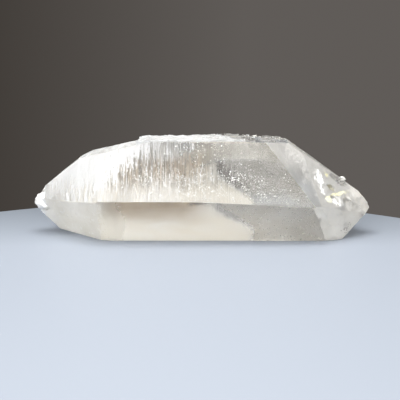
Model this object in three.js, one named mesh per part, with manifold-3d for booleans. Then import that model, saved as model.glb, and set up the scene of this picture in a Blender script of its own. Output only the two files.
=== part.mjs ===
// Double terminated quartz crystal, grown as one piece and lying on one of its prism faces.
// Millimetres, +Z up. The c axis runs along X. The front is -Y.
import * as THREE from "three";
import { mergeVertices } from "three/addons/utils/BufferGeometryUtils.js";
import Module from "manifold-3d";

// Driving dimensions
const prismHeight = 37.8; // from the face it lies on to the face on top
const frontRidge = { y: -21.0, z: 17.0 }; // where the two front prism faces meet
const backRidge = { y: 20.0, z: 18.2 }; // where the two back prism faces meet
const leftTip = -64.6; // the broken left tip, along the c axis from mid length
const rightTip = 66.0; // the blunt right tip
const crustRise = 0.75; // how far the rough overgrowth stands above the top face
const cutterSize = 300; // side of the blocks that cut the faces, larger than the crystal

// Angles of the quartz lattice, in degrees
const prismTilt = 90; // a prism face's normal, measured from the c axis
const pyramidTilt = 51.8; // a rhombohedral face's normal, measured from the c axis
const undercutTilt = 48; // the small faces below each tip

// A face is placed where it crosses one of four lines that run along the crystal.
const topLine = { y: 0, z: prismHeight };
const bedLine = { y: 0, z: 0 };

// Azimuth turns round the c axis: 0 is up, 90 is the front, 180 is down, 270 is the back.
// End is -1 on the left, 1 on the right and 0 on the prism.
const prismFaces = [
  { azimuth: 0, tilt: prismTilt, end: 0, line: topLine, x: 0 },
  { azimuth: 60, tilt: prismTilt, end: 0, line: frontRidge, x: 0 },
  { azimuth: 120, tilt: prismTilt, end: 0, line: frontRidge, x: 0 },
  { azimuth: 180, tilt: prismTilt, end: 0, line: bedLine, x: 0 },
  { azimuth: 240, tilt: prismTilt, end: 0, line: backRidge, x: 0 },
  { azimuth: 60, tilt: 86.5, end: 1, line: frontRidge, x: -0.6 }, // tapers to the right
  { azimuth: 0, tilt: 87, end: 1, line: topLine, x: 14.0 }, // so does the top
];
const leftFaces = [
  { azimuth: 0, tilt: 77, end: -1, line: topLine, x: -18.7 }, // steep face above the pyramid
  { azimuth: 0, tilt: 64, end: -1, line: topLine, x: -31.5 }, // rounds the corner below it
  { azimuth: 0, tilt: pyramidTilt, end: -1, line: topLine, x: -37.5 },
  { azimuth: 57, tilt: pyramidTilt, end: -1, line: frontRidge, x: -38.3 },
  { azimuth: 122, tilt: 55, end: -1, line: frontRidge, x: -39.2 },
  { azimuth: 180, tilt: 85.5, end: -1, line: bedLine, x: -34.0 }, // lifts a little off the table
  { azimuth: 180, tilt: undercutTilt, end: -1, line: bedLine, x: -54.3 },
  { azimuth: 240, tilt: pyramidTilt, end: -1, line: backRidge, x: -52.5 },
  { azimuth: 300, tilt: pyramidTilt, end: -1, line: backRidge, x: -43.5 },
];
const chippedFace = { azimuth: 43, tilt: 52.5, end: 1, line: frontRidge, x: 40.0 };
const rightFaces = [
  { azimuth: 0, tilt: 55, end: 1, line: topLine, x: 31.9 },
  { azimuth: 0, tilt: 42, end: 1, line: topLine, x: 42.9 }, // steeper towards the tip
  { azimuth: 50, tilt: 73, end: 1, line: frontRidge, x: 33.2 }, // narrow band beside the prism
  { azimuth: 113.5, tilt: 73, end: 1, line: frontRidge, x: 40.3 }, // the band goes on below the ridge
  chippedFace,
  { azimuth: 100, tilt: pyramidTilt, end: 1, line: frontRidge, x: 41.8 },
  { azimuth: 180, tilt: undercutTilt, end: 1, line: bedLine, x: 54.5 },
  { azimuth: 240, tilt: pyramidTilt, end: 1, line: backRidge, x: 50.5 },
  { azimuth: 300, tilt: pyramidTilt, end: 1, line: backRidge, x: 43.0 },
];

// The upper back face, which tapers to the left.
const upperBackFaces = [
  { azimuth: 300, tilt: prismTilt, end: 0, line: backRidge, x: 0 },
  { azimuth: 300, tilt: 87.5, end: -1, line: backRidge, x: 8 },
];
// A parallel growth step stands out from it, with a slanted face at each end.
const stepRise = 3.2;
const stepLine = {
  y: backRidge.y + stepRise * Math.sin(Math.PI / 3),
  z: backRidge.z + stepRise * Math.cos(Math.PI / 3),
};
const stepFaces = [
  { azimuth: 300, tilt: prismTilt, end: 0, line: stepLine, x: 0 },
  { azimuth: 300, tilt: 77.1, end: -1, line: backRidge, x: -6 },
  { azimuth: 300, tilt: 77.1, end: 1, line: backRidge, x: 38 },
];

const wasm = await Module();
wasm.setup();

// A closed three.js geometry as a solid that can be cut and joined.
function toSolid(geometry) {
  const bare = geometry.clone();
  bare.deleteAttribute("normal");
  bare.deleteAttribute("uv");
  const merged = mergeVertices(bare, 1e-5);
  const vertProperties = new Float32Array(merged.attributes.position.array);
  const triVerts = new Uint32Array(merged.index.array);
  return new wasm.Manifold(new wasm.Mesh({ numProp: 3, vertProperties, triVerts }));
}

function toGeometry(solid) {
  const mesh = solid.getMesh();
  const geometry = new THREE.BufferGeometry();
  geometry.setAttribute("position", new THREE.BufferAttribute(new Float32Array(mesh.vertProperties), 3));
  geometry.setIndex(new THREE.BufferAttribute(new Uint32Array(mesh.triVerts), 1));
  const faceted = geometry.toNonIndexed();
  faceted.computeVertexNormals();
  return faceted;
}

function faceNormal({ azimuth, tilt, end }) {
  const around = THREE.MathUtils.degToRad(azimuth);
  const lean = THREE.MathUtils.degToRad(tilt);
  const side = Math.sin(lean);
  return new THREE.Vector3(end * Math.cos(lean), -side * Math.sin(around), side * Math.cos(around));
}

// The block that takes away everything outside a face.
function outsideOf(face) {
  const normal = faceNormal(face);
  const box = new THREE.BoxGeometry(cutterSize, cutterSize, cutterSize);
  const turn = new THREE.Quaternion().setFromUnitVectors(new THREE.Vector3(0, 0, 1), normal);
  const centre = new THREE.Vector3(face.x, face.line.y, face.line.z);
  centre.addScaledVector(normal, cutterSize / 2);
  box.applyQuaternion(turn);
  box.translate(centre.x, centre.y, centre.z);
  return toSolid(box);
}

// The closed body inside the common faces and the given ones on the upper back.
function facetedCrystal(backFaces) {
  const length = rightTip - leftTip;
  const blank = new THREE.BoxGeometry(length, 60, 60);
  blank.translate((leftTip + rightTip) / 2, 0, prismHeight / 2);
  let solid = toSolid(blank);
  for (const face of [...prismFaces, ...backFaces, ...leftFaces, ...rightFaces]) {
    solid = solid.subtract(outsideOf(face));
  }
  return solid;
}

// A lump or hollow: a ball with uneven facets, stretched and turned to the given axes.
function ball({ at, radii, axes = new THREE.Matrix4(), detail = 2, unevenness = 0.05 }) {
  const geometry = new THREE.IcosahedronGeometry(1, detail);
  const position = geometry.attributes.position;
  const point = new THREE.Vector3();
  for (let i = 0; i < position.count; i += 1) {
    point.fromBufferAttribute(position, i);
    const waveX = Math.sin(5.1 * point.x + 2.3);
    const waveY = Math.sin(4.3 * point.y + 1.1);
    const waveZ = Math.sin(4.7 * point.z + 0.4);
    point.multiplyScalar(1 + unevenness * waveX * waveY * waveZ);
    position.setXYZ(i, point.x, point.y, point.z);
  }
  geometry.scale(...radii);
  geometry.applyMatrix4(axes);
  geometry.translate(...at);
  return toSolid(geometry);
}

// A flat scale of overgrowth on the top face: a wavy outline, raised, with sloping sides.
function crustScale({ x, y, length, width, rise, phase }) {
  const outline = new THREE.Shape();
  const steps = Math.round(14 + 0.9 * length);
  for (let i = 0; i < steps; i += 1) {
    const angle = (i / steps) * 2 * Math.PI;
    const ripple = 1 + 0.07 * Math.sin(5 * angle + phase) + 0.05 * Math.sin(9 * angle + 2 * phase);
    // The exponent squares the ellipse off, so that the scale fills the face to its edges.
    const along = Math.sign(Math.cos(angle)) * Math.abs(Math.cos(angle)) ** 0.6;
    const across = Math.sign(Math.sin(angle)) * Math.abs(Math.sin(angle)) ** 0.6;
    const px = x + (length / 2) * ripple * along;
    const py = y + (width / 2) * ripple * across;
    if (i === 0) outline.moveTo(px, py);
    else outline.lineTo(px, py);
  }
  outline.closePath();
  const root = 0.8; // depth sunk into the crystal, so that the join is sound
  const slope = 0.35; // how far the sides lean in
  const geometry = new THREE.ExtrudeGeometry(outline, {
    depth: root + rise - slope,
    bevelEnabled: true,
    bevelThickness: slope,
    bevelSize: slope,
    bevelOffset: -slope,
    bevelSegments: 1,
  });
  geometry.translate(0, 0, prismHeight - root);
  return toSolid(geometry);
}

const crustScales = [
  { x: -5.0, y: -0.6, length: 35, width: 14.5, rise: 0.55, phase: 0.3 },
  { x: -9.0, y: 1.0, length: 24, width: 10.0, rise: crustRise, phase: 1.7 },
  { x: 7.0, y: 2.2, length: 17, width: 8.5, rise: 0.65, phase: 2.9 },
  { x: 17.0, y: 2.6, length: 17, width: 8.0, rise: 0.5, phase: 4.1 },
  { x: 19.0, y: 4.2, length: 9, width: 4.0, rise: 0.7, phase: 5.2 },
];

// Chips knocked out of the right pyramid. Turn is in degrees, from the crystal's length to the chip's.
const chips = [
  { at: [53.1, -1.0, 21.8], halfLength: 4.6, halfWidth: 1.9, depth: 1.0, turn: -9, detail: 5 }, // long scoop
  { at: [49.7, -7.0, 19.9], halfLength: 4.0, halfWidth: 2.3, depth: 1.3, turn: -5, detail: 1 }, // flat breaks
  { at: [44.9, -8.7, 23.2], halfLength: 2.3, halfWidth: 3.4, depth: 0.7, turn: 20, detail: 1 },
  { at: [50.9, -10.3, 15.5], halfLength: 3.3, halfWidth: 1.8, depth: 0.8, turn: -30, detail: 1 },
  { at: [56.5, -6.5, 13.0], halfLength: 3.1, halfWidth: 3.1, depth: 0.9, turn: 0, detail: 5 }, // round shells
  { at: [59.2, -5.4, 11.2], halfLength: 3.8, halfWidth: 2.6, depth: 0.5, turn: 40, detail: 5 },
  { at: [54.6, -10.5, 11.4], halfLength: 3.4, halfWidth: 2.2, depth: 0.4, turn: -20, detail: 5 },
];
const sunkShare = 2 / 3; // how far the chip's ball stands outside the face, as a share of its radius

// A shell-shaped hollow: the third of a flattened ball that reaches below the chipped face.
function chip({ at, halfLength, halfWidth, depth, turn, detail }) {
  const outward = faceNormal(chippedFace);
  const along = new THREE.Vector3(1, 0, 0).projectOnPlane(outward).normalize();
  along.applyAxisAngle(outward, THREE.MathUtils.degToRad(turn));
  const across = new THREE.Vector3().crossVectors(outward, along);
  const axes = new THREE.Matrix4().makeBasis(along, across, outward);
  const height = depth / (1 - sunkShare);
  const rim = Math.sqrt(1 - sunkShare ** 2);
  const centre = new THREE.Vector3(...at).addScaledVector(outward, height * sunkShare);
  const radii = [halfLength / rim, halfWidth / rim, height];
  return ball({ at: centre.toArray(), radii, axes, detail, unevenness: 0.03 });
}

// The left tip broke off along a shell-shaped hollow, and its lower half healed over as a knob.
const tipBreak = { at: [-67.0, 3.0, 19.0], radii: [5.6, 9.0, 4.2], detail: 4 };
const tipKnobs = [
  { at: [-62.5, 3.7, 12.4], radii: [3.1, 3.8, 2.9], detail: 3, unevenness: 0.14 },
  { at: [-61.0, 3.4, 11.2], radii: [2.6, 3.4, 2.1], detail: 3, unevenness: 0.14 },
];
// A small crystal grown on the right pyramid's upper edge.
const edgeBump = { at: [54.8, 2.1, 21.7], radii: [1.9, 1.2, 1.0], detail: 1, unevenness: 0.2 };

function crystal() {
  let solid = facetedCrystal(upperBackFaces).add(facetedCrystal(stepFaces));
  solid = solid.subtract(ball(tipBreak));
  for (const knob of tipKnobs) {
    solid = solid.add(ball(knob));
  }
  for (const scale of crustScales) {
    solid = solid.add(crustScale(scale));
  }
  for (const hollow of chips) {
    solid = solid.subtract(chip(hollow));
  }
  solid = solid.add(ball(edgeBump));
  return toGeometry(solid);
}

const quartz = new THREE.MeshStandardMaterial({ color: 0xe6e3dc, roughness: 0.25, metalness: 0 });

const group = new THREE.Group();
const quartzCrystal = new THREE.Mesh(crystal(), quartz);
quartzCrystal.name = "quartz_crystal";

// The origin is on the surface it lies on, under the middle of its box.
const box = new THREE.Box3().setFromObject(quartzCrystal);
const middle = box.getCenter(new THREE.Vector3());
quartzCrystal.position.set(-middle.x, -middle.y, -box.min.z);
group.add(quartzCrystal);

export default group;
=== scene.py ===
import bpy
import math
import random
import time
from mathutils import Matrix, Quaternion, Vector, noise


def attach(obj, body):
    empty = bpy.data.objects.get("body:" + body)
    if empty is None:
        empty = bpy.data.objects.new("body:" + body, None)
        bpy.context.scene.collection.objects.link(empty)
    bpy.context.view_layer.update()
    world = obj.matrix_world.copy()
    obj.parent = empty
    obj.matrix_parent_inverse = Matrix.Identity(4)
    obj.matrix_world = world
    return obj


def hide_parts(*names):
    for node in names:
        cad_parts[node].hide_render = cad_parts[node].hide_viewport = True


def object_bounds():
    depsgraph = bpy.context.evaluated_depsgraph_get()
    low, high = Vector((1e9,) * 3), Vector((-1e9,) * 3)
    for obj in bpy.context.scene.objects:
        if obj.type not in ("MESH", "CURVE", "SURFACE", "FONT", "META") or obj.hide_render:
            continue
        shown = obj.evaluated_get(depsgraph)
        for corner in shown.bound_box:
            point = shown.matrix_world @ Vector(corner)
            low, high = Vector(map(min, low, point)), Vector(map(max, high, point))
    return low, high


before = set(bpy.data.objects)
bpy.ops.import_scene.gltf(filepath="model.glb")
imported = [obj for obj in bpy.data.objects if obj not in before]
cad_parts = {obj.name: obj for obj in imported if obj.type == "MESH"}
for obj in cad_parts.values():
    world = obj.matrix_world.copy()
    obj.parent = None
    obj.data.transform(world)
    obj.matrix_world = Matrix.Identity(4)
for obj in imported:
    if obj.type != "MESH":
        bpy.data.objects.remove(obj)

cadLow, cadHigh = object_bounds()
mm = 0.001
startTime = time.time()
coarse = 1.0      # wider cuts while trying things
crispAngle = math.radians(22)            # edges sharper than this stay crisp


def report(stage):
    print(f"{stage}: {time.time() - startTime:.1f} s")


# small helpers, for doing in code what a hand does with the mouse

def pickOnly(piece):
    bpy.ops.object.select_all(action="DESELECT")
    piece.select_set(True)
    bpy.context.view_layer.objects.active = piece


def openEdit(piece, select="SELECT"):
    pickOnly(piece)
    bpy.ops.object.mode_set(mode="EDIT")
    bpy.ops.mesh.select_all(action=select)


def closeEdit():
    bpy.ops.object.mode_set(mode="OBJECT")


def cutPlane(point, normal, keepInside=False):
    # slices the open piece along a plane, and drops what lies outside it if asked
    bpy.ops.mesh.select_all(action="SELECT")
    bpy.ops.mesh.bisect(plane_co=point, plane_no=normal, use_fill=keepInside, clear_outer=keepInside)


def deleteFaces(piece, unwanted):
    openEdit(piece, select="DESELECT")
    bpy.ops.mesh.select_mode(type="FACE")
    closeEdit()
    for face in piece.data.polygons:
        face.select = unwanted(face)
    pickOnly(piece)
    bpy.ops.object.mode_set(mode="EDIT")
    bpy.ops.mesh.delete(type="FACE")
    closeEdit()


def useModifier(piece, kind, **settings):
    pickOnly(piece)
    modifier = piece.modifiers.new(kind.title(), kind)
    for key, value in settings.items():
        setattr(modifier, key, value)
    bpy.ops.object.modifier_apply(modifier=modifier.name)


def smoothStep(value, low, high):
    t = min(max((value - low) / (high - low), 0), 1)
    return t * t * (3 - 2 * t)


def finishPiece(piece, material):
    pickOnly(piece)
    bpy.ops.object.shade_smooth_by_angle(angle=crispAngle)
    piece.data.materials.clear()
    piece.data.materials.append(material)
    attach(piece, "root")


# the crystal's faces

crystalShape = {
    "height": 37.8,               # millimetres, bed face to top face
    "frontRidge": (-21.0, 17.0),  # y and z of the front edge where the upper and lower front faces meet
    "backRidge": (20.0, 18.2),
    "leftTip": -64.6,
    "rightTip": 66.0,
    "edgeWear": 0.16,
    "blockWidth": 60,             # of the block that the faces are cut from
}

# each face: azimuth round the long axis (0 up, 90 front), tilt of its normal from that axis,
# which end it leans to, the guide line it crosses, and where along that line
crystalFaces = {
    "top": (0, 90, 1, "top", 0),
    "upperFront": (60, 90, 1, "front", 0),
    "lowerFront": (120, 90, 1, "front", 0),
    "bed": (180, 90, 1, "bed", 0),
    "lowerBack": (240, 90, 1, "back", 0),
    "upperBack": (300, 90, 1, "back", 0),
    "upperFrontTaper": (60, 86.5, 1, "front", -0.6),
    "upperBackTaper": (300, 87.5, -1, "back", 8),
    "topTaper": (0, 87, 1, "top", 14.0),
    "leftShoulder": (0, 77, -1, "top", -18.7),
    "leftCorner": (0, 64, -1, "top", -31.5),
    "leftTop": (0, 51.8, -1, "top", -37.5),
    "leftUpperFront": (57, 51.8, -1, "front", -38.3),
    "leftLowerFront": (122, 55, -1, "front", -39.2),
    "leftLift": (180, 85.5, -1, "bed", -34.0),
    "leftBed": (180, 48, -1, "bed", -54.3),
    "leftLowerBack": (240, 51.8, -1, "back", -52.5),
    "leftUpperBack": (300, 51.8, -1, "back", -43.5),
    "rightShoulder": (0, 55, 1, "top", 31.9),
    "rightTop": (0, 42, 1, "top", 42.9),
    "upperBand": (50, 73, 1, "front", 33.2),
    "lowerBand": (113.5, 73, 1, "front", 40.3),
    "rightUpperFront": (43, 52.5, 1, "front", 40.0),
    "rightLowerFront": (100, 51.8, 1, "front", 41.8),
    "rightBed": (180, 48, 1, "bed", 54.5),
    "rightLowerBack": (240, 51.8, 1, "back", 50.5),
    "rightUpperBack": (300, 51.8, 1, "back", 43.0),
}

# the frame's origin is under the middle of the model's box
toFrame = Vector((
    cadHigh.x - crystalShape["rightTip"] * mm, cadLow.y - crystalShape["frontRidge"][0] * mm, 0))

guideLines = {
    "top": (0, crystalShape["height"]), "bed": (0, 0),
    "front": crystalShape["frontRidge"], "back": crystalShape["backRidge"],
}


def place(x, y, z):
    return Vector((x, y, z)) * mm + toFrame


def facePlane(name):
    azimuth, tilt, end, line, x = crystalFaces[name]
    around, lean = math.radians(azimuth), math.radians(tilt)
    outward = math.sin(lean)
    normal = Vector((end * math.cos(lean), -outward * math.sin(around), outward * math.cos(around)))
    return place(x, *guideLines[line]), normal.normalized()


planes = {name: facePlane(name) for name in crystalFaces}


def nearestPlane(normal):
    return max(planes, key=lambda name: planes[name][1].dot(normal))


# the body: one clear crystal with worn edges, a healed left tip and a chipped right end

bodyShape = {
    "columnPitch": (0.6, 1.1),    # of the cuts across the crystal, which carry the growth striae
    "rowPitch": 1.5,
    "endMargin": 0.5,             # no cuts closer to the tips than this
    "mergeDistance": 0.004,
    "striaeSteps": 700,
    "striaePitch": 0.35,
    "striaeDepth": 0.035,
    "striaeFade": (-5, 20),       # the relief fades between these places
    "waveHeight": 0.10,
    "waveScale": (70, 160, 160),
    "bedFlat": (0.2, 1.2),        # heights between which the relief sets in above the bed
    "plainRings": (0.12, 26),     # height and number of the ripples in chips and knobs
    # centre, radii, roughness of the surface
    "tipBreak": ((-67.0, 3.0, 19.0), (5.6, 9.0, 4.2), 0.08),
    "tipKnobs": [
        ((-62.5, 3.7, 12.4), (3.1, 3.8, 2.9), 0.15), ((-61.0, 3.4, 11.2), (2.6, 3.4, 2.1), 0.15),
    ],
    # the upper back face stands out in a growth step: how far, and where its slopes begin and end
    "step": (3.2, -6, 8, 24, 38),
    "stepDepth": (0.5, 12),       # how far under that face the step fades out
    "edgeBump": ((54.8, 2.1, 21.7), (1.9, 1.2, 1.0), 0.4),
    "shellRings": (0.4, 70),      # the same for the shells near the tip
    "chipRoughness": 0.03,
    # place on the chipped face, half its length, half its width, depth, turn, and how fine its facets are
    "chips": [
        ((53.1, -1.0, 21.8), 4.6, 1.9, 1.0, -9, 5),      # long scoop under the upper edge
        ((49.7, -7.0, 19.9), 4.0, 2.3, 1.3, -5, 1),      # flat breaks
        ((44.9, -8.7, 23.2), 2.3, 3.4, 0.7, 20, 2),
        ((50.9, -10.3, 15.5), 3.3, 1.8, 0.8, -30, 2),
        ((56.5, -6.5, 13.0), 3.1, 3.1, 0.9, 0, 5),       # shells near the tip
        ((59.2, -5.4, 11.2), 3.8, 2.6, 0.5, 40, 5),
        ((54.6, -10.5, 11.4), 3.4, 2.2, 0.4, -20, 5),
    ],
}


def roughBall(name, centre, radii, roughness, seed, detail=4, axes=Matrix.Identity(3),
              rings=bodyShape["plainRings"]):
    # a ball with a lumpy, faintly rippled surface, for chips and knobs
    bpy.ops.object.select_all(action="DESELECT")
    bpy.ops.mesh.primitive_ico_sphere_add(subdivisions=detail, radius=1, location=(0, 0, 0))
    ball = bpy.context.object
    ball.name = name
    offset = Vector((seed * 3.7, seed * 1.3, seed * 2.1))
    for vertex in ball.data.vertices:
        out = vertex.co.normalized()
        swell = noise.noise(out * 1.7 + offset) + 0.4 * noise.noise(out * 4.1 + offset)
        ripple = rings[0] * math.sin(out.z * rings[1] + out.x * 9 + seed)
        size = 1 + roughness * (swell + ripple)
        vertex.co = axes @ Vector(a * radius * mm * size for a, radius in zip(out, radii)) + centre
    return ball


def combine(piece, tool, operation):
    useModifier(piece, "BOOLEAN", operation=operation, object=tool, solver="EXACT")
    bpy.data.objects.remove(tool, do_unlink=True)


def cutFaces():
    length = (crystalShape["rightTip"] - crystalShape["leftTip"]) * mm
    middle = (crystalShape["rightTip"] + crystalShape["leftTip"]) / 2
    width = crystalShape["blockWidth"] * mm
    bpy.ops.object.select_all(action="DESELECT")
    bpy.ops.mesh.primitive_cube_add(size=1, location=(0, 0, 0))
    body = bpy.context.object
    body.name = "quartz_body"
    openEdit(body)
    bpy.ops.transform.resize(value=(length, width, width))
    bpy.ops.transform.translate(value=place(middle, 0, crystalShape["height"] / 2))
    for point, normal in planes.values():
        cutPlane(point, normal, keepInside=True)
    bpy.ops.mesh.select_all(action="SELECT")
    bpy.ops.mesh.bevel(offset=crystalShape["edgeWear"] * mm, segments=2, affect="EDGES")
    closeEdit()
    return body


def breakEnds(body):
    at, radii, roughness = bodyShape["tipBreak"]
    combine(body, roughBall("tipBreak", place(*at), radii, roughness, 2, 5), "DIFFERENCE")
    for index, (at, radii, roughness) in enumerate(bodyShape["tipKnobs"]):
        combine(body, roughBall("knob", place(*at), radii, roughness, index + 5), "UNION")
    faceNormal = planes["rightUpperFront"][1]
    for index, (at, halfLength, halfWidth, depth, turn, detail) in enumerate(bodyShape["chips"]):
        # a flattened ball whose middle is above the face, so that only its lowest third is sunk in
        along = Vector((1, 0, 0)).cross(faceNormal).cross(faceNormal).normalized() * -1
        along.rotate(Quaternion(faceNormal, math.radians(turn)))
        axes = Matrix((along, faceNormal.cross(along), faceNormal)).transposed()
        centre = place(*at) + faceNormal * 2 * depth * mm
        rim = math.sqrt(1 - (2 / 3) ** 2)
        radii = (halfLength / rim, halfWidth / rim, depth * 3)
        rings = bodyShape["shellRings" if detail == 5 else "plainRings"]
        roughness = bodyShape["chipRoughness"]
        tool = roughBall("chip", centre, radii, roughness, index + 11, detail, axes, rings)
        combine(body, tool, "DIFFERENCE")
    at, radii, roughness = bodyShape["edgeBump"]
    combine(body, roughBall("bump", place(*at), radii, roughness, 4, 2), "UNION")


def sliceBody(body):
    # cuts the growth striae across the crystal, and rows along it, so that the relief has points to move
    dice = random.Random(7)
    openEdit(body)
    margin = bodyShape["endMargin"] * mm
    x = cadLow.x + margin
    while x < cadHigh.x - margin:
        cutPlane((x, 0, 0), (1, 0, 0))
        x += dice.uniform(*bodyShape["columnPitch"]) * coarse * mm
    rows = int(crystalShape["height"] / bodyShape["rowPitch"])
    for row in range(1, rows):
        cutPlane((0, 0, row * bodyShape["rowPitch"] * mm), (0, 0, 1))
        cutPlane((0, (row - rows / 2) * bodyShape["rowPitch"] * mm, 0), (0, 1, 0))
    bpy.ops.mesh.select_all(action="SELECT")
    bpy.ops.mesh.remove_doubles(threshold=bodyShape["mergeDistance"] * mm)
    closeEdit()


def stepBack(body):
    rise, start, full, fall, end = bodyShape["step"]
    point, normal = planes["upperBack"]
    ridge, top = crystalShape["backRidge"][1], crystalShape["height"]
    steep = 0.866       # sine of the lower back face's slope
    for vertex in body.data.vertices:
        x, y, z = vertex.co / mm
        amount = min(1, max(0, (x - start) / (full - start)), max(0, (end - x) / (end - fall)))
        depth = (point - vertex.co).dot(normal) / mm
        amount *= 1 - smoothStep(depth, *bodyShape["stepDepth"])
        up = min(max((z - ridge) / (top - ridge), 0), 1)
        # along the lower back face at the ridge, along the top face at the top
        slide = Vector((0, 0.5, steep)).lerp(Vector((0, 1, 0)), up)
        vertex.co += slide * amount * rise / steep * mm
    body.data.update()


def reliefBody(body):
    # long low waves everywhere, and a fine step from stria to stria that fades to the right
    dice = random.Random(3)
    steps = [dice.uniform(-1, 1) for _ in range(bodyShape["striaeSteps"])]
    pitch = bodyShape["striaePitch"] * mm
    fadeStart, fadeEnd = bodyShape["striaeFade"]
    flatBelow, fullAbove = bodyShape["bedFlat"]
    normals = [vertex.normal.copy() for vertex in body.data.vertices]
    for vertex, normal in zip(body.data.vertices, normals):
        x, _, z = vertex.co
        wave = noise.noise(vertex.co * Vector(bodyShape["waveScale"])) * bodyShape["waveHeight"]
        rough = 1 - 0.75 * smoothStep(x, fadeStart * mm, fadeEnd * mm)
        stria = steps[int((x - cadLow.x) / pitch) % len(steps)] * bodyShape["striaeDepth"]
        flat = smoothStep(z, flatBelow * mm, fullAbove * mm)
        vertex.co += normal * (wave + stria * rough) * rough * flat * mm


def makeBody():
    body = cutFaces()
    breakEnds(body)
    report("faces cut and ends broken")
    sliceBody(body)
    report("striae sliced")
    stepBack(body)
    reliefBody(body)
    report(f"body has {len(body.data.polygons)} faces")
    return body


# materials

def newMaterial(name):
    material = bpy.data.materials.new(name)
    material.use_nodes = True
    return material, material.node_tree, material.node_tree.nodes["Principled BSDF"]


def feed(tree, socket, value):
    # gives a socket a fixed value, or joins it to another node's output
    if isinstance(value, bpy.types.NodeSocket):
        tree.links.new(value, socket)
    else:
        socket.default_value = value


def addNode(tree, kind, **inputs):
    node = tree.nodes.new(kind)
    for key, value in inputs.items():
        feed(tree, node.inputs[key.replace("_", " ")], value)
    return node


def calculate(tree, operation, *values):
    node = tree.nodes.new("ShaderNodeMath")
    node.operation = operation
    for socket, value in zip(node.inputs, values):
        feed(tree, socket, value)
    return node.outputs[0]


def mixColour(tree, factor, first, second):
    mix = tree.nodes.new("ShaderNodeMix")
    mix.data_type = "RGBA"
    feed(tree, mix.inputs["Factor"], factor)
    feed(tree, mix.inputs[6], first)      # the two colour sockets
    feed(tree, mix.inputs[7], second)
    return mix.outputs[2]


def mapTo(tree, value, low, high, toLow, toHigh):
    ramp = addNode(
        tree, "ShaderNodeMapRange", Value=value, From_Min=low, From_Max=high, To_Min=toLow, To_Max=toHigh)
    return ramp.outputs["Result"]


def coordinates(tree, kind="Object"):
    # the x, y and z of the shaded place
    coords = tree.nodes.new("ShaderNodeTexCoord")
    return addNode(tree, "ShaderNodeSeparateXYZ", Vector=coords.outputs[kind]).outputs


def noiseAt(tree, scale, stretch=(1, 1, 1), detail=3.0):
    coords = tree.nodes.new("ShaderNodeTexCoord")
    mapping = addNode(tree, "ShaderNodeMapping", Vector=coords.outputs["Object"], Scale=stretch)
    texture = addNode(
        tree, "ShaderNodeTexNoise", Vector=mapping.outputs["Vector"], Scale=scale, Detail=detail)
    return texture.outputs["Fac"]


def zoneAt(tree, name):
    # one of the amounts that paintZones stores
    attribute = tree.nodes.new("ShaderNodeAttribute")
    attribute.attribute_name = name
    return attribute.outputs["Fac"]


quartzLook = {
    "transmission": 0.91,
    "ior": 1.544,
    "tint": (0.84, 0.79, 0.70, 1),         # colour of light after a long way through
    "tintDensity": 2.5,
    "clear": (0.995, 0.988, 0.965, 1),
    "milky": (0.99, 0.965, 0.90, 1),
    "stained": (0.66, 0.52, 0.38, 1),
    "shadeAndBrownSpot": (0.30, 0.29, 0.27, 1),         # painted shade in upright streaks over the frosted middle, the upper strip, the right end and the bed; also the brown spot's own dark
    "clearRoughness": 0.08,
    "frostRoughness": 0.6,
    "grainRoughness": 0.08,                # added by the finest grain
    "clearBump": 0.06,
    "frostBump": 0.7,
    "bumpHeight": 0.0002,
}


def quartzMaterial(name):
    material, tree, shader = newMaterial(name)
    shader.inputs["IOR"].default_value = quartzLook["ior"]
    shader.inputs["Transmission Weight"].default_value = quartzLook["transmission"]
    absorb = addNode(
        tree, "ShaderNodeVolumeAbsorption", Color=quartzLook["tint"], Density=quartzLook["tintDensity"])
    tree.links.new(absorb.outputs[0], tree.nodes["Material Output"].inputs["Volume"])

    base = mixColour(tree, zoneAt(tree, "milk"), quartzLook["clear"], quartzLook["milky"])
    base = mixColour(tree, zoneAt(tree, "stain"), base, quartzLook["stained"])
    # painted shade, and the brown spot's own dark: the base colour turns grey in upright streaks where the
    # zone says
    streaks = mapTo(tree, noiseAt(tree, 150, stretch=(16, 0.7, 0.7)), 0.38, 0.62, 0.25, 1)
    darkened = calculate(tree, "MULTIPLY", zoneAt(tree, "shadeAndBrownSpot"), streaks)
    feed(tree, shader.inputs["Base Color"], mixColour(tree, darkened, base, quartzLook["shadeAndBrownSpot"]))

    frost = zoneAt(tree, "frost")
    grain = noiseAt(tree, 900, detail=4)
    patch = noiseAt(tree, 60, stretch=(2.4, 1, 1))
    rough = calculate(
        tree, "MULTIPLY_ADD", mapTo(tree, patch, 0.3, 0.7, 0.5, 1.5),
        mapTo(tree, frost, 0, 1, quartzLook["clearRoughness"], quartzLook["frostRoughness"]),
        mapTo(tree, grain, 0.5, 0.8, 0, quartzLook["grainRoughness"]))
    feed(tree, shader.inputs["Roughness"], rough)
    bump = addNode(
        tree, "ShaderNodeBump", Distance=quartzLook["bumpHeight"],
        Strength=mapTo(tree, frost, 0, 1, quartzLook["clearBump"], quartzLook["frostBump"]),
        Height=noiseAt(tree, 160, stretch=(14, 0.5, 0.5), detail=2))
    feed(tree, shader.inputs["Normal"], bump.outputs["Normal"])
    return material


def crumblyMaterial(name, colour, roughness, patchScale=80, patchColour=None, transmission=0.0):
    # white or stained mineral with a soft patchy colour and a fine sugary bump
    material, tree, shader = newMaterial(name)
    shader.inputs["Transmission Weight"].default_value = transmission
    patch = noiseAt(tree, patchScale, detail=5)
    second = patchColour or tuple(c * 0.9 for c in colour[:3]) + (1,)
    feed(tree, shader.inputs["Base Color"],
         mixColour(tree, mapTo(tree, patch, 0.35, 0.65, 0, 1), colour, second))
    grain = noiseAt(tree, 1500)
    feed(tree, shader.inputs["Roughness"], mapTo(tree, grain, 0.3, 0.7, roughness - 0.12, roughness + 0.12))
    bump = addNode(tree, "ShaderNodeBump", Distance=0.0001, Strength=0.35, Height=grain)
    feed(tree, shader.inputs["Normal"], bump.outputs["Normal"])
    return material


# where the crystal is frosted, milky and stained

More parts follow.
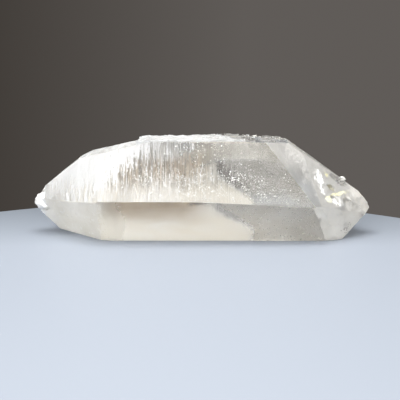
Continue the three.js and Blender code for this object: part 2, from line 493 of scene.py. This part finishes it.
zoneShape = {   # places along the crystal and heights
    "milkEnd": (20, 5),               # where the milky part ends on the right, low down and at the ridge
    "milkSlant": (4.0, 18.2),         # between these heights
    "ironRidge": (18.5, 21.5),        # height of the stained back edge, left and right of the growth step
    "blushHeight": 28,
    "brownSpot": ((-2, 32.0), (4.5, 1.7)),      # its middle and its spread
}
upperFrontFaces = ("upperFront", "upperFrontTaper")
upperBackFaces = ("upperBack", "upperBackTaper")
topFaces = ("top", "topTaper")


def hill(along, up, centre, spread):
    # a smooth rise, 1 at its middle
    return math.exp(-((along - centre[0]) / spread[0]) ** 2 - ((up - centre[1]) / spread[1]) ** 2)


def milkEdge(z):
    # the milky part ends on the right along a slant
    low, ridge = zoneShape["milkEnd"]
    return low - (low - ridge) * smoothStep(z, *zoneShape["milkSlant"])


def frostAt(x, y, z, faceName):
    wobble = noise.noise(Vector((x * 0.12, y * 0.12, z * 0.15))) * 5
    if faceName.startswith("left") and faceName != "leftBed":
        return 1.0
    if faceName in upperFrontFaces:
        return 1 - 0.85 * smoothStep(x + wobble, -28, 2)
    if faceName == "lowerBack":
        edge = milkEdge(z)
        return 1 - 0.8 * smoothStep(x + wobble * 0.3, edge - 0.8, edge + 0.8)
    if faceName in upperBackFaces:
        return 0.8 - 0.7 * smoothStep(x + wobble, -36, -20)
    if faceName in topFaces:
        return 0.7 - 0.45 * smoothStep(x, 6, 18)
    if faceName in ("upperBand", "lowerBand", "rightShoulder", "rightLowerFront"):
        return 0.9
    if faceName in ("bed", "rightUpperFront"):
        return 0.5
    if faceName == "lowerFront":
        return 0.15 + 0.85 * (1 - smoothStep(x + wobble * 0.4, -40, -28))
    return 0.15


def shadeAndBrownSpotAt(x, y, z, faceName):
    # how much darker the surface is drawn: painted shade over the frosted middle, the upper strip, the
    # right end and the bed's right part, and the brown spot's own dark
    if faceName in upperFrontFaces:
        middle = smoothStep(x, -42, -32) * (1 - 0.75 * smoothStep(x, 10, 20))
        strip = smoothStep(z, 31.5, 33.5) * smoothStep(x, -6, 6)
        low = 0.35 + 0.65 * smoothStep(z, 19, 24) * (1 - 0.4 * smoothStep(z, 29, 32))
        end = smoothStep(x, 18, 26) * smoothStep(z, 24, 26.5)
        return 0.95 * middle * low + 0.6 * strip + 0.7 * end + 0.8 * hill(x, z, *zoneShape["brownSpot"])
    # painted shade under the crystal: the bed is drawn darker from the middle to the right
    if faceName == "bed":
        return 3.0 * smoothStep(x, -2, 6)
    return 0.0


def milkAt(x, y, z, faceName):
    if faceName not in ("lowerBack", "bed", "leftLowerBack"):
        return 0.0
    edge = milkEdge(z)
    return 1 - smoothStep(x, edge - 1, edge + 1)


def stainAt(x, y, z, faceName):
    # iron along the back edge, and a brown blush on the upper front face
    streak = noise.noise(Vector((x * 0.05, y * 0.2, z * 0.5))) * 0.5 + 0.5
    left, right = zoneShape["ironRidge"]
    ridge = left + (right - left) * smoothStep(x, -6, 8)
    nearRidge = smoothStep(y, 12, 20) * (1 - smoothStep(abs(z - ridge), 1, 5))
    along = smoothStep(x, -45, -30) * (1 - smoothStep(x, -2, 8))
    blush = 0
    if faceName in upperFrontFaces:
        level = 1 - smoothStep(abs(z - zoneShape["blushHeight"]), 2, 5)
        blush = 0.45 * smoothStep(x, -34, -26) * (1 - smoothStep(x, -2, 4)) * level
        blush += 1.2 * hill(x, z, *zoneShape["brownSpot"])
    return min(1, 1.4 * nearRidge * along * streak + blush * (0.5 + streak))


def paintZones(body):
    # stores how frosted, milky and stained every point of the body is, and how much painted shade (and the
    # brown spot's dark) greys it, for its material to read
    zones = {"frost": frostAt, "milk": milkAt, "stain": stainAt, "shadeAndBrownSpot": shadeAndBrownSpotAt}
    faceNames = [nearestPlane(vertex.normal) for vertex in body.data.vertices]
    for name, amountAt in zones.items():
        amounts = [amountAt(*vertex.co / mm, faceName)
                   for vertex, faceName in zip(body.data.vertices, faceNames)]
        body.data.attributes.new(name, "FLOAT", "POINT").data.foreach_set("value", amounts)


body = makeBody()
paintZones(body)
report("zones painted")
clearQuartz = quartzMaterial("clear quartz")
finishPiece(body, clearQuartz)
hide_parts("quartz_crystal")


# coats: thin ragged skins that follow the body's surface

def patchOf(names, x=(-100, 100), y=(-100, 100), z=(-100, 100)):
    # picks the polygons that lie on some of the crystal's faces, between two places along each axis
    def inside(face):
        between = all(low * mm < at < high * mm for at, (low, high) in zip(face.center, (x, y, z)))
        return between and nearestPlane(face.normal) in names
    return inside


def copyRegion(name, body, region):
    pickOnly(body)
    bpy.ops.object.duplicate()
    coat = bpy.context.object
    coat.name = name
    deleteFaces(coat, lambda face: not region(face))
    return coat


def cutCells(coat, axis, pitch, dice):
    # slices the coat across one axis at uneven steps
    places = [vertex.co[axis] for vertex in coat.data.vertices]
    normal = [0, 0, 0]
    normal[axis] = 1
    openEdit(coat)
    at = min(places)
    while at < max(places):
        at += dice.uniform(0.5, 1.5) * pitch * coarse * mm
        cutPlane(Vector(normal) * at, normal)
    closeEdit()


def makeCoat(name, body, region, keep, material, look, seed):
    # copies part of the body's surface, cuts it into cells, keeps a ragged lot of them and thickens those
    dice = random.Random(seed)
    coat = copyRegion(name, body, region)
    cutCells(coat, 0, look["columnPitch"], dice)
    cutCells(coat, look.get("rowAxis", 2), look["rowPitch"], dice)
    deleteFaces(coat, lambda face: not keep(face, dice))
    normals = [vertex.normal.copy() for vertex in coat.data.vertices]
    shift = look["rowPitch"] * look.get("ragged", 0.35) * mm
    for vertex, normal in zip(coat.data.vertices, normals):
        # unsettles the grid of cuts along the surface, then lifts the coat off it
        sideways = Vector((dice.uniform(-1, 1) * look["columnPitch"] / look["rowPitch"], 0, 0))
        upwards = normal.cross(Vector((1, 0, 0))) * dice.uniform(-1, 1)
        vertex.co += (sideways + upwards) * shift + normal * look.get("lift", 0) * mm
    openEdit(coat)
    bpy.ops.mesh.vertices_smooth(factor=0.5, repeat=look.get("softened", 1))
    closeEdit()
    useModifier(coat, "SOLIDIFY", thickness=look["thickness"] * mm, offset=1.0)
    finishPiece(coat, material)
    report(f"{name} has {len(coat.data.polygons)} faces")
    return coat


def cloud(x, y, z, scale, seed=0.0):
    return noise.noise(Vector((x / scale + seed, y / scale - seed, z / scale + 2 * seed)))


def insideBlob(point, blobs, ragged):
    x, y, z = point / mm
    for centre, radii in blobs.values():
        away = sum((a / mm / r) ** 2 for a, r in zip(point - place(*centre), radii))
        if away < 1 + cloud(x, y, z, 0.9) * ragged + cloud(x, y, z, 0.35) * ragged:
            return True
    return False


# white growth frost: dense on the upper left, thinning to separate upright dashes in the middle

frostLook = {
    "columnPitch": 0.18, "rowPitch": 0.5, "thickness": 0.05, "lift": 0.01, "ragged": 0.2, "softened": 0,
}
frostFaces = upperFrontFaces + ("leftUpperFront", "leftTop", "leftCorner", "leftShoulder")


def frostKeep(face, dice):
    x, y, z = face.center / mm
    streak = noise.noise(Vector((x * 3.4, y * 0.10, z * 0.10)))
    dash = noise.noise(Vector((x * 5.2, y * 0.35, z * 0.35 + 3)))
    faceName = nearestPlane(face.normal)
    if faceName == "leftUpperFront":
        density = 1.25 - 0.75 * smoothStep(27 - z + cloud(x, y, z, 4) * 4, 0, 9)
    elif faceName in ("leftTop", "leftCorner", "leftShoulder"):
        density = 0.72
    else:
        solid = 1 - smoothStep(x - (z - 29) * 1.1, -36, -21)
        density = 0.28 + 0.85 * solid - 0.42 * smoothStep(x, -20, 9)
    ragged = streak * 0.9 + dash * 0.6 + cloud(x, y, z, 6) * 0.2 + dice.uniform(-0.25, 0.25)
    return density + ragged > 0.5


whiteFrost = crumblyMaterial("white frost", (0.93, 0.94, 0.95, 1), 0.8, transmission=0.72)
makeCoat("frost_striae", body, patchOf(frostFaces, x=(-100, 9)), frostKeep, whiteFrost, frostLook, 21)


def backKeep(face, dice):
    x, y, z = face.center / mm
    streak = noise.noise(Vector((x * 4.5, y * 0.10, z * 0.10 + 7)))
    density = 0.95 - 0.75 * smoothStep(x + cloud(x, y, z, 7) * 9, -46, -8)
    return density + streak * 0.7 + cloud(x, y, z, 5, 3.0) * 0.3 + cloud(x, y, z, 0.7) * 0.4 > 0.62


makeCoat(
    "back_frost", body, patchOf(upperBackFaces + ("leftUpperBack", "leftLowerBack"), x=(-100, 0)),
    backKeep, whiteFrost, frostLook, 22)


# a denser white on the broken left tip and its knob

knobLook = {"columnPitch": 0.3, "rowPitch": 0.3, "thickness": 0.06, "lift": 0.01}


def knobKeep(face, dice):
    x, y, z = face.center / mm
    return x < -60.7 + cloud(x, y, z, 1.6) * 2.0 + cloud(x, y, z, 0.5) - 0.3 * abs(z - 13)


tipWhite = crumblyMaterial("tip white", (0.97, 0.97, 0.97, 1), 0.7, 300, transmission=0.2)
makeCoat(
    "tip_frost", body, patchOf(crystalFaces, x=(-100, -57.5), z=(5, 100)), knobKeep, tipWhite, knobLook, 23)


# frost inside the bed face, so that the crystal still lies flat

bedLook = {"columnPitch": 0.6, "rowPitch": 0.6, "rowAxis": 1, "thickness": 0.03, "lift": -0.1}


def bedKeep(face, dice):
    x, y, z = face.center / mm
    return cloud(x, y, z, 2.5) * 0.6 + 0.9 > 1.2 * smoothStep(x, -24, -2)


makeCoat("bed_frost", body, patchOf(("bed", "leftBed")), bedKeep, whiteFrost, bedLook, 24)


# a fine etch on both ends, and a thin haze over the right one

etchLook = {"columnPitch": 0.6, "rowPitch": 0.6, "thickness": 0.03, "lift": 0.02, "softened": 2}
etchedFaces = (
    "rightLowerFront", "lowerBand", "rightLowerBack", "leftLowerFront", "rightUpperFront", "rightTop")
hazedFaces = ("rightUpperFront", "rightTop", "rightShoulder", "rightUpperBack", "upperBand")


def inChip(face):
    # inside a hollow on the right: deeper than every face
    onRight = face.center.x > 40 * mm and face.center.y < 2 * mm
    return onRight and all((at - face.center).dot(out) > 0.2 * mm for at, out in planes.values())


def etchKeep(face, dice):
    x, y, z = face.center / mm
    if nearestPlane(face.normal) in ("rightUpperFront", "rightTop") and not nearTip(face):
        return False
    return not inChip(face) and cloud(x, y, z, 2.0) * 0.5 + cloud(x, y, z, 0.9) * 0.5 < 0.32


def nearTip(face):
    x, y, z = face.center / mm
    return x + cloud(x, y, z, 2.5) * 5 > 57


def hazeKeep(face, dice):
    x, y, z = face.center / mm
    faceName = nearestPlane(face.normal)
    cover = 1.0
    if faceName == "upperBand":
        cover = 0.05 + 0.65 * smoothStep(x + z * 0.75, 52, 62)      # thins out towards the clear part
    patchy = 0.5 + cloud(x, y, z, 0.8) * 0.6 + dice.uniform(-0.35, 0.35)
    if x > 54.5 and z < 15:
        return patchy < 0.7      # the shells are hazed too
    return patchy < cover and not inChip(face) and not nearTip(face)


etchedQuartz = crumblyMaterial(
    "etched quartz", (0.99, 0.98, 0.95, 1), 0.6, 110, (0.87, 0.85, 0.80, 1), transmission=0.62)
hazyQuartz = crumblyMaterial(
    "hazy quartz", (0.97, 0.965, 0.95, 1), 0.5, 90, (0.90, 0.89, 0.86, 1), transmission=0.8)


def etchRegion(face):
    # both ends, but not the middle of the crystal
    return nearestPlane(face.normal) in etchedFaces and not -24 * mm <= face.center.x <= 28 * mm


makeCoat("etched_haze", body, etchRegion, etchKeep, etchedQuartz, etchLook, 25)

hazeLook = {"columnPitch": 0.4, "rowPitch": 0.4, "thickness": 0.03, "lift": 0.02, "softened": 1}
makeCoat("thin_haze", body, patchOf(hazedFaces), hazeKeep, hazyQuartz, hazeLook, 27)


# fainter films over the clear part, each starting further to the right and lying on the last

faintHaze = crumblyMaterial(
    "faint haze", (0.97, 0.965, 0.95, 1), 0.13, 100, (0.87, 0.86, 0.83, 1), transmission=0.93)
cloudyQuartz = crumblyMaterial(
    "cloudy quartz", (0.98, 0.965, 0.93, 1), 0.35, 70, (0.84, 0.81, 0.75, 1), transmission=0.86)
filmLook = {"columnPitch": 0.5, "rowPitch": 0.5, "thickness": 0.02, "softened": 2}
films = {
    "lowest": 0.02, "apart": 0.03,      # heights over the surface
    "starts": ((19, faintHaze), (35, faintHaze), (39, faintHaze), (42.5, hazyQuartz)),
    "slant": 0.9,                       # how far a start moves left for each millimetre up
    "lowHeight": 0.11,
    "lowStart": (19.5, 7.5),            # start of the film on the lower front face, low down and high up
}


def filmKeep(start):
    def keep(face, dice):
        x, y, z = face.center / mm
        slanted = x + (z - crystalShape["frontRidge"][1]) * films["slant"]
        return slanted + cloud(x, y, z, 5, start) * 4 + cloud(x, y, z, 1) * 1.5 > start
    return keep


def lowKeep(face, dice):
    x, y, z = face.center / mm
    low, high = films["lowStart"]
    start = low - (low - high) * smoothStep(z, 5, 17)
    return x + cloud(x, y, z, 4) + cloud(x, y, z, 1) > start


for index, (start, film) in enumerate(films["starts"]):
    look = dict(filmLook, lift=films["lowest"] + films["apart"] * index)
    makeCoat(
        f"faint_haze_{index + 1}", body, patchOf(upperFrontFaces, x=(0, 100)),
        filmKeep(start), film, look, 40 + index)
makeCoat(
    "low_haze", body, patchOf(["lowerFront"], x=(-2, 100)), lowKeep, cloudyQuartz,
    dict(filmLook, lift=films["lowHeight"]), 45)


# a sugary edge where the frost on the lower front face ends

sugarLook = {"columnPitch": 0.3, "rowPitch": 0.3, "thickness": 0.03, "lift": 0.02}


def sugarKeep(face, dice):
    x, y, z = face.center / mm
    ragged = cloud(x, y, z, 0.7) * 0.9 + cloud(x, y, z, 5) * 0.5 + dice.uniform(-0.1, 0.1)
    return ragged > 1.6 * smoothStep(x, -45, -31) - 0.7


makeCoat(
    "sugary_edge", body, patchOf(["lowerFront"], x=(-100, -26)), sugarKeep, etchedQuartz, sugarLook, 26)


# a milky layer just inside the lower back face, which ends on the right along a slant

milkLook = {
    "columnPitch": 0.5, "rowPitch": 0.6, "thickness": 0.06, "lift": -0.35,
    "cream": (1.0, 0.985, 0.94, 1), "deepCream": (0.965, 0.92, 0.83, 1), "stain": (0.60, 0.50, 0.37, 1),
    # the iron stain: heights where it starts and is full, and places along where it comes and goes
    "stainUp": (11.5, 19.0), "stainComes": (-45, -36), "stainGoes": (-8, 4), "stainRagged": 5.0,
    "roughness": 0.8, "transmission": 0.05,
}


def milkKeep(face, dice):
    x, y, z = face.center / mm
    return x + cloud(x, y, z, 3) * 1.6 + cloud(x, y, z, 0.8) * 0.8 < milkEdge(z)


def milkMaterial():
    # cream, with an iron stain that comes down from the back edge
    material, tree, shader = newMaterial("milky layer")
    where = coordinates(tree)
    blotch = noiseAt(tree, 150, stretch=(0.5, 1, 1), detail=4)
    height = calculate(tree, "MULTIPLY_ADD", blotch, milkLook["stainRagged"] * mm, where["Z"])
    up, comes, goes = ([at * mm for at in milkLook[key]] for key in ("stainUp", "stainComes", "stainGoes"))
    along = calculate(
        tree, "MULTIPLY", mapTo(tree, where["X"], *comes, 0, 1), mapTo(tree, where["X"], *goes, 1, 0))
    amount = calculate(tree, "MULTIPLY", mapTo(tree, height, *up, 0, 1), along)
    patches = mapTo(tree, blotch, 0.35, 0.65, 0, 1)
    cream = mixColour(tree, patches, milkLook["cream"], milkLook["deepCream"])
    feed(tree, shader.inputs["Base Color"], mixColour(tree, amount, cream, milkLook["stain"]))
    shader.inputs["Roughness"].default_value = milkLook["roughness"]
    shader.inputs["Transmission Weight"].default_value = milkLook["transmission"]
    return material


makeCoat(
    "milky_layer", body, patchOf(["lowerBack"], x=(-52, 26), z=(1.0, 20.5)),
    milkKeep, milkMaterial(), milkLook, 5)


# iron stain inside, along the back edge

stainLook = {"columnPitch": 0.5, "rowPitch": 0.4, "thickness": 0.05, "lift": -0.3}


def stainKeep(face, dice):
    x, y, z = face.center / mm
    along = smoothStep(x, -46, -30) * (1 - smoothStep(x, -12, 6)) * (1 - 0.6 * smoothStep(z, 20, 24))
    return along * 1.2 + cloud(x * 0.3, y, z, 1.2) * 0.9 + cloud(x, y, z, 0.5) * 0.6 > 0.62


ironStain = crumblyMaterial(
    "iron stain", (0.74, 0.61, 0.43, 1), 0.6, 110, (0.58, 0.44, 0.28, 1), transmission=0.1)
makeCoat(
    "iron_stain", body, patchOf(upperBackFaces, x=(-46, 4), z=(-100, 24)),
    stainKeep, ironStain, stainLook, 9)


# the raised crust on the top face: white on the left, clear lumps on the right

crustLook = {
    "columnPitch": 0.55, "rowPitch": 0.5, "rowAxis": 1, "thickness": 0.2,
    "lumps": (0.5, 2.2, 0.0),      # their height, their size and where their pattern starts
}
clearCrustLook = {
    "columnPitch": 0.6, "rowPitch": 0.6, "rowAxis": 1, "thickness": 0.2, "lift": 0.02,
    "lumps": (0.5, 3.0, 6.0),
}


def crustKeep(face, dice):
    x, y, z = face.center / mm
    comes = smoothStep(x + cloud(0, y, 0, 2) * 2, -24.0, -23.0)
    dense = comes * (1 - 0.95 * smoothStep(x + y * 0.5, 6, 16))
    return dense + cloud(x, y, z, 3.5) * 0.9 + cloud(x, y, z, 0.9) * 0.5 > 0.55


def clearCrustKeep(face, dice):
    x, y, z = face.center / mm
    return cloud(x, y, z, 3.4, 4.0) * 1.2 + cloud(x, y, z, 0.8) * 0.3 > 0.14


def slopeFrom(faceName):
    # where a face that falls away from the top face begins, and how much it falls
    azimuth, tilt, end, line, x = crystalFaces[faceName]
    return place(x, 0, 0).x / mm, 1 / math.tan(math.radians(tilt))


def lumpCoat(coat, height, scale, seed):
    # raises the outer side of a thin coat into soft lumps, level over the start of the left shoulder
    shoulder, shoulderFall = slopeFrom("leftShoulder")
    taper, taperFall = slopeFrom("topTaper")
    for vertex in coat.data.vertices:
        x, y, z = vertex.co / mm
        drop = max(0, shoulder - x) * shoulderFall
        if z > crystalShape["height"] - drop - max(0, x - taper) * taperFall + 0.1:
            lump = 0.45 + 0.9 * cloud(x, y, 0, scale, seed) + 0.5 * cloud(x, y, 0, scale * 0.3, seed)
            vertex.co.z += (max(0, lump) * height + drop * 0.9) * mm


crust = makeCoat(
    "top_crust", body, patchOf(topFaces + ("leftShoulder",), x=(-25, 34)),
    crustKeep, whiteFrost, crustLook, 13)
lumpCoat(crust, *crustLook["lumps"])
clearCrust = makeCoat(
    "clear_crust", body, patchOf(topFaces, x=(2, 31)), clearCrustKeep, clearQuartz, clearCrustLook, 14)
lumpCoat(clearCrust, *clearCrustLook["lumps"])


# bruises and stains round the chips, one painted highlight, and painted shadow at the foot of the right end

bruiseLook = {"columnPitch": 0.3, "rowPitch": 0.3, "thickness": 0.06, "lift": 0.01}
bruisesAndHighlight = {   # centre and radii of each white bruise, and of one painted highlight
    "chip": ((44.8, -8.4, 23.8), (2.3, 3.2, 3.1)),
    "rim": ((45.2, -11.6, 19.6), (1.5, 1.8, 1.7)),
    "lower": ((51.6, -9.8, 15.2), (2.9, 2.6, 1.6)),
    # painted highlight: a white spot where a shell near the tip catches the light
    "paintedHighlight": ((57.3, -4.7, 15.6), (0.9, 1.2, 0.9)),
    "dot": ((59.3, -0.6, 16.1), (0.6, 0.8, 0.6)),
    "knob": ((55.4, 2.4, 22.2), (1.9, 1.4, 0.9)),
}
breaks = {"facet": ((50.3, -6.6, 20.1), (4.2, 3.4, 1.8))}
stains = {
    "vein": ((52.8, -6.0, 17.4), (5.6, 6.2, 0.65)),
    "side": ((48.0, -12.6, 16.3), (2.0, 1.8, 1.3)),
    "spot": ((48.1, -3.9, 24.4), (0.9, 1.1, 1.0)),
}
paintedShadowSpots = {   # painted shadow: small dark spots at the foot of the right end, where the shadow shows through
    "corner": ((55.4, -7.8, 3.4), (2.3, 2.6, 1.3)),
    "above": ((56.9, -6.2, 5.6), (1.1, 1.3, 0.8)),
}


def besideBruises(blobs, ragged):
    def keep(face, dice):
        return insideBlob(face.center, blobs, ragged) and not insideBlob(face.center, bruisesAndHighlight, 1.2)
    return keep


bruiseAndHighlightWhite = crumblyMaterial("bruise and highlight white", (0.97, 0.97, 0.96, 1), 0.7, 300, (0.88, 0.88, 0.86, 1))
makeCoat(
    "white_bruises_and_highlight", body, patchOf(crystalFaces, x=(35, 100), y=(-100, 6), z=(8, 100)),
    lambda face, dice: insideBlob(face.center, bruisesAndHighlight, 1.8 if dice.random() < 0.85 else 4.5),
    bruiseAndHighlightWhite, bruiseLook, 31)
yellowStain = crumblyMaterial("yellow stain", (0.80, 0.77, 0.51, 1), 0.5, 200, (0.84, 0.83, 0.68, 1))
makeCoat(
    "yellow_stain", body, patchOf(crystalFaces, x=(40, 100), y=(-100, 6), z=(12, 100)),
    besideBruises(stains, 1.2), yellowStain, bruiseLook, 32)
oliveBreak = crumblyMaterial(
    "olive break", (0.64, 0.62, 0.50, 1), 0.4, 120, (0.56, 0.54, 0.44, 1), transmission=0.6)
makeCoat("olive_break", body, inChip, besideBruises(breaks, 0.6), oliveBreak, bruiseLook, 33)
# painted shadow: a dark grey standing for the shadow seen through the foot of the right end
paintedShadowGrey = crumblyMaterial("painted shadow grey", (0.40, 0.39, 0.36, 1), 0.5, 300, transmission=0.5)
makeCoat(
    "painted_shadow_spots", body, patchOf(["rightLowerFront"], z=(-100, 8)),
    lambda face, dice: insideBlob(face.center, paintedShadowSpots, 1.0) and dice.random() < 0.45,
    paintedShadowGrey, bruiseLook, 34)


# white specks on and in the clear part

speckLook = {
    "count": 5600, "smallest": 0.2, "largest": 0.7,
    "along": (-28, 46), "down": (0, 23),      # the part of the upper front face that they are sown over
    # middle and spread of the places where they are dense, along and down the face
    "drift": ((17, 14.5), (13, 7)), "ridge": ((34, 20), (9, 3.5)), "middle": ((-10, 14), (11, 8)),
    "onFilms": 0.5, "filmHeight": 0.13,       # share of them that lies on the films, and how high
    "skippedThrows": 610,                     # throws of the dice between the places and the sizes
}


def speckShape():
    bpy.ops.object.select_all(action="DESELECT")
    bpy.ops.mesh.primitive_ico_sphere_add(subdivisions=1, radius=1, location=(0, 0, 0))
    shape = bpy.context.object
    points = [vertex.co.copy() for vertex in shape.data.vertices]
    faces = [tuple(face.vertices) for face in shape.data.polygons]
    bpy.data.objects.remove(shape, do_unlink=True)
    return points, faces


def ontoFilms(spot, normal):
    # moves a spot outwards until it lies on the films over the nearest face
    toSurface = min((at - spot).dot(out) / out.dot(normal)
                    for at, out in planes.values() if out.dot(normal) > 0.5)
    return spot + normal * (toSurface + speckLook["filmHeight"] * mm)


def speckPlaces(dice):
    # more of them in a drift across the clear part, at and under the upper front face
    point, normal = planes["upperFront"]
    across = normal.cross(Vector((1, 0, 0))).normalized()
    width = speckLook["down"][1]
    places = []
    while len(places) < speckLook["count"]:
        x = dice.uniform(*speckLook["along"])
        down = dice.uniform(*speckLook["down"])
        drift, ridge, middle = (hill(x, down, *speckLook[area]) for area in ("drift", "ridge", "middle"))
        clumps = (0.8 + 1.3 * cloud(x, down, 0, 1.6)) * (0.3 + 0.7 * smoothStep(down, 10, 13.5))
        if dice.random() > (0.04 + 0.75 * drift + 0.9 * ridge + 0.35 * middle) * clumps:
            continue
        spot = point + Vector((x * mm - point.x, 0, 0)) + across * (width - down) * mm
        spot -= normal * (0.02 + abs(dice.gauss(0, 1)) ** 2 * 0.5) * mm
        if all((spot - at).dot(out) < -0.01 * mm for at, out in planes.values()):
            if dice.random() < speckLook["onFilms"]:
                spot = ontoFilms(spot, normal)
            places.append((spot, speckLook["largest"] * (1 - 0.5 * middle)))
    return places


def scatterSpecks():
    dice = random.Random(77)
    shape, faces = speckShape()
    places = speckPlaces(dice)
    for _ in range(speckLook["skippedThrows"]):
        dice.gauss(0, 1)
    allPoints, allFaces = [], []
    for spot, largest in places:
        size = speckLook["smallest"] + (largest - speckLook["smallest"]) * dice.random() ** 4
        stretch = Vector([dice.uniform(0.35, 1.0) for _ in range(3)])
        first = len(allPoints)
        for point in shape:
            allPoints.append(spot + point * stretch * size * 0.5 * dice.uniform(0.7, 1.3) * mm)
        for face in faces:
            allFaces.append(tuple(first + index for index in face))
    mesh = bpy.data.meshes.new("white_specks")
    mesh.from_pydata(allPoints, [], allFaces)
    specks = bpy.data.objects.new("white_specks", mesh)
    bpy.context.scene.collection.objects.link(specks)
    finishPiece(specks, bruiseAndHighlightWhite)


scatterSpecks()
report("specks scattered")


# table, room, light and camera

tableLook = {
    "radius": 0.145, "depth": 0.012, "middle": (-0.011, -0.079), "gap": 0.00005,
    "near": (0.320, 0.357, 0.420, 1), "far": (0.170, 0.196, 0.232, 1),
    "paintedShadeStart": -0.02, "paintedShadeFull": 0.06,      # painted shade: the pale top is drawn darker towards the wall
    "roughness": 0.55,
}


def makeTable():
    bpy.ops.object.select_all(action="DESELECT")
    x, y = tableLook["middle"]
    bpy.ops.mesh.primitive_cylinder_add(
        vertices=256, radius=tableLook["radius"], depth=tableLook["depth"],
        location=(x, y, -tableLook["depth"] / 2 - tableLook["gap"]))
    bpy.ops.object.transform_apply(location=True)
    table = bpy.context.object
    table.name = "table"
    material, tree, shader = newMaterial("pale table")
    # painted shade: the top darkens towards the wall
    away = mapTo(tree, coordinates(tree)["Y"], tableLook["paintedShadeStart"], tableLook["paintedShadeFull"], 0, 1)
    feed(tree, shader.inputs["Base Color"], mixColour(tree, away, tableLook["near"], tableLook["far"]))
    shader.inputs["Roughness"].default_value = tableLook["roughness"]
    table.data.materials.append(material)


roomLook = {
    "wallDark": (0.052, 0.045, 0.039, 1),
    "wallLight": (0.117, 0.106, 0.098, 1),
    "wallTurns": (-0.25, 0.05),         # from dark on the left to light on the right
    "ceiling": (0.78, 0.77, 0.75, 1),
    "ceilingFrom": (0.22, 0.62),        # heights where the wall turns into the ceiling
    "ceilingDrop": -0.35,               # it comes lower down on the viewer's side
    "windowLight": (1.0, 0.98, 0.95, 1),
    "windowPower": 1.6,
    "windowToward": (-0.60, -0.48, 0.66),
    "windowEdge": (0.80, 0.93),
}


def makeRoom():
    room = bpy.data.worlds.new("room")
    bpy.context.scene.world = room
    room.use_nodes = True
    tree = room.node_tree
    side, depth, up = coordinates(tree, "Generated")
    turn = mapTo(tree, side, *roomLook["wallTurns"], 0, 1)
    wall = mixColour(tree, turn, roomLook["wallDark"], roomLook["wallLight"])
    height = calculate(tree, "MULTIPLY_ADD", depth, roomLook["ceilingDrop"], up)
    rise = mapTo(tree, height, *roomLook["ceilingFrom"], 0, 1)
    walls = mixColour(tree, rise, wall, roomLook["ceiling"])
    toward = tree.nodes.new("ShaderNodeVectorMath")
    toward.operation = "DOT_PRODUCT"
    feed(tree, toward.inputs[0], tree.nodes.new("ShaderNodeTexCoord").outputs["Generated"])
    feed(tree, toward.inputs[1], Vector(roomLook["windowToward"]).normalized())
    window = mapTo(tree, toward.outputs["Value"], *roomLook["windowEdge"], 0, roomLook["windowPower"])
    light = tree.nodes.new("ShaderNodeMix")
    light.data_type = "RGBA"
    light.blend_type = "ADD"
    light.clamp_factor = False
    feed(tree, light.inputs["Factor"], window)
    feed(tree, light.inputs[6], walls)      # the two colour sockets
    feed(tree, light.inputs[7], roomLook["windowLight"])
    feed(tree, tree.nodes["Background"].inputs["Color"], light.outputs[2])


cameraView = {
    "lens": 76.5, "sensor": 36, "down": 11, "distance": 0.333, "nearest": 0.01,
    "aim": (-0.5, 0.0, 13.7),
}


def makeCamera():
    camera = bpy.data.cameras.new("camera")
    viewer = bpy.data.objects.new("camera", camera)
    bpy.context.scene.collection.objects.link(viewer)
    camera.lens = cameraView["lens"]
    camera.sensor_width = cameraView["sensor"]
    camera.clip_start = cameraView["nearest"]
    down = math.radians(cameraView["down"])
    forward = Vector((0, math.cos(down), -math.sin(down)))
    viewer.location = place(*cameraView["aim"]) - forward * cameraView["distance"]
    viewer.rotation_mode = "QUATERNION"
    viewer.rotation_quaternion = forward.to_track_quat("-Z", "Y")
    bpy.context.scene.camera = viewer


lampLook = {   # place, size, power and colour of each soft lamp, in metres and watts
    "overhead": ((-0.03, -0.07, 0.36), (0.24, 0.24), 1.25, (1.0, 0.985, 0.96)),
    "front": ((-0.06, -0.54, 0.22), (0.36, 0.12), 2.3, (1.0, 0.99, 0.97)),
}
lampAim = Vector((0, 0, 0.015))


def makeLamp(name, at, size, power, colour):
    lamp = bpy.data.lights.new(name + " softbox", "AREA")
    lamp.shape = "RECTANGLE"
    lamp.size, lamp.size_y = size
    lamp.energy = power
    lamp.color = colour
    softbox = bpy.data.objects.new(name + " softbox", lamp)
    softbox.location = at
    aim = lampAim - softbox.location
    softbox.rotation_mode = "QUATERNION"
    softbox.rotation_quaternion = aim.to_track_quat("-Z", "Y")
    bpy.context.scene.collection.objects.link(softbox)


makeTable()
makeRoom()
for name, settings in lampLook.items():
    makeLamp(name, *settings)
makeCamera()
bpy.context.scene.view_settings.view_transform = "Standard"
lightPaths = bpy.context.scene.cycles        # light goes back and forth many times in a clear crystal
lightPaths.max_bounces = 32
lightPaths.diffuse_bounces = 10
lightPaths.transmission_bounces = 32
lightPaths.glossy_bounces = 16

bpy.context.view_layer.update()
report("scene ready")
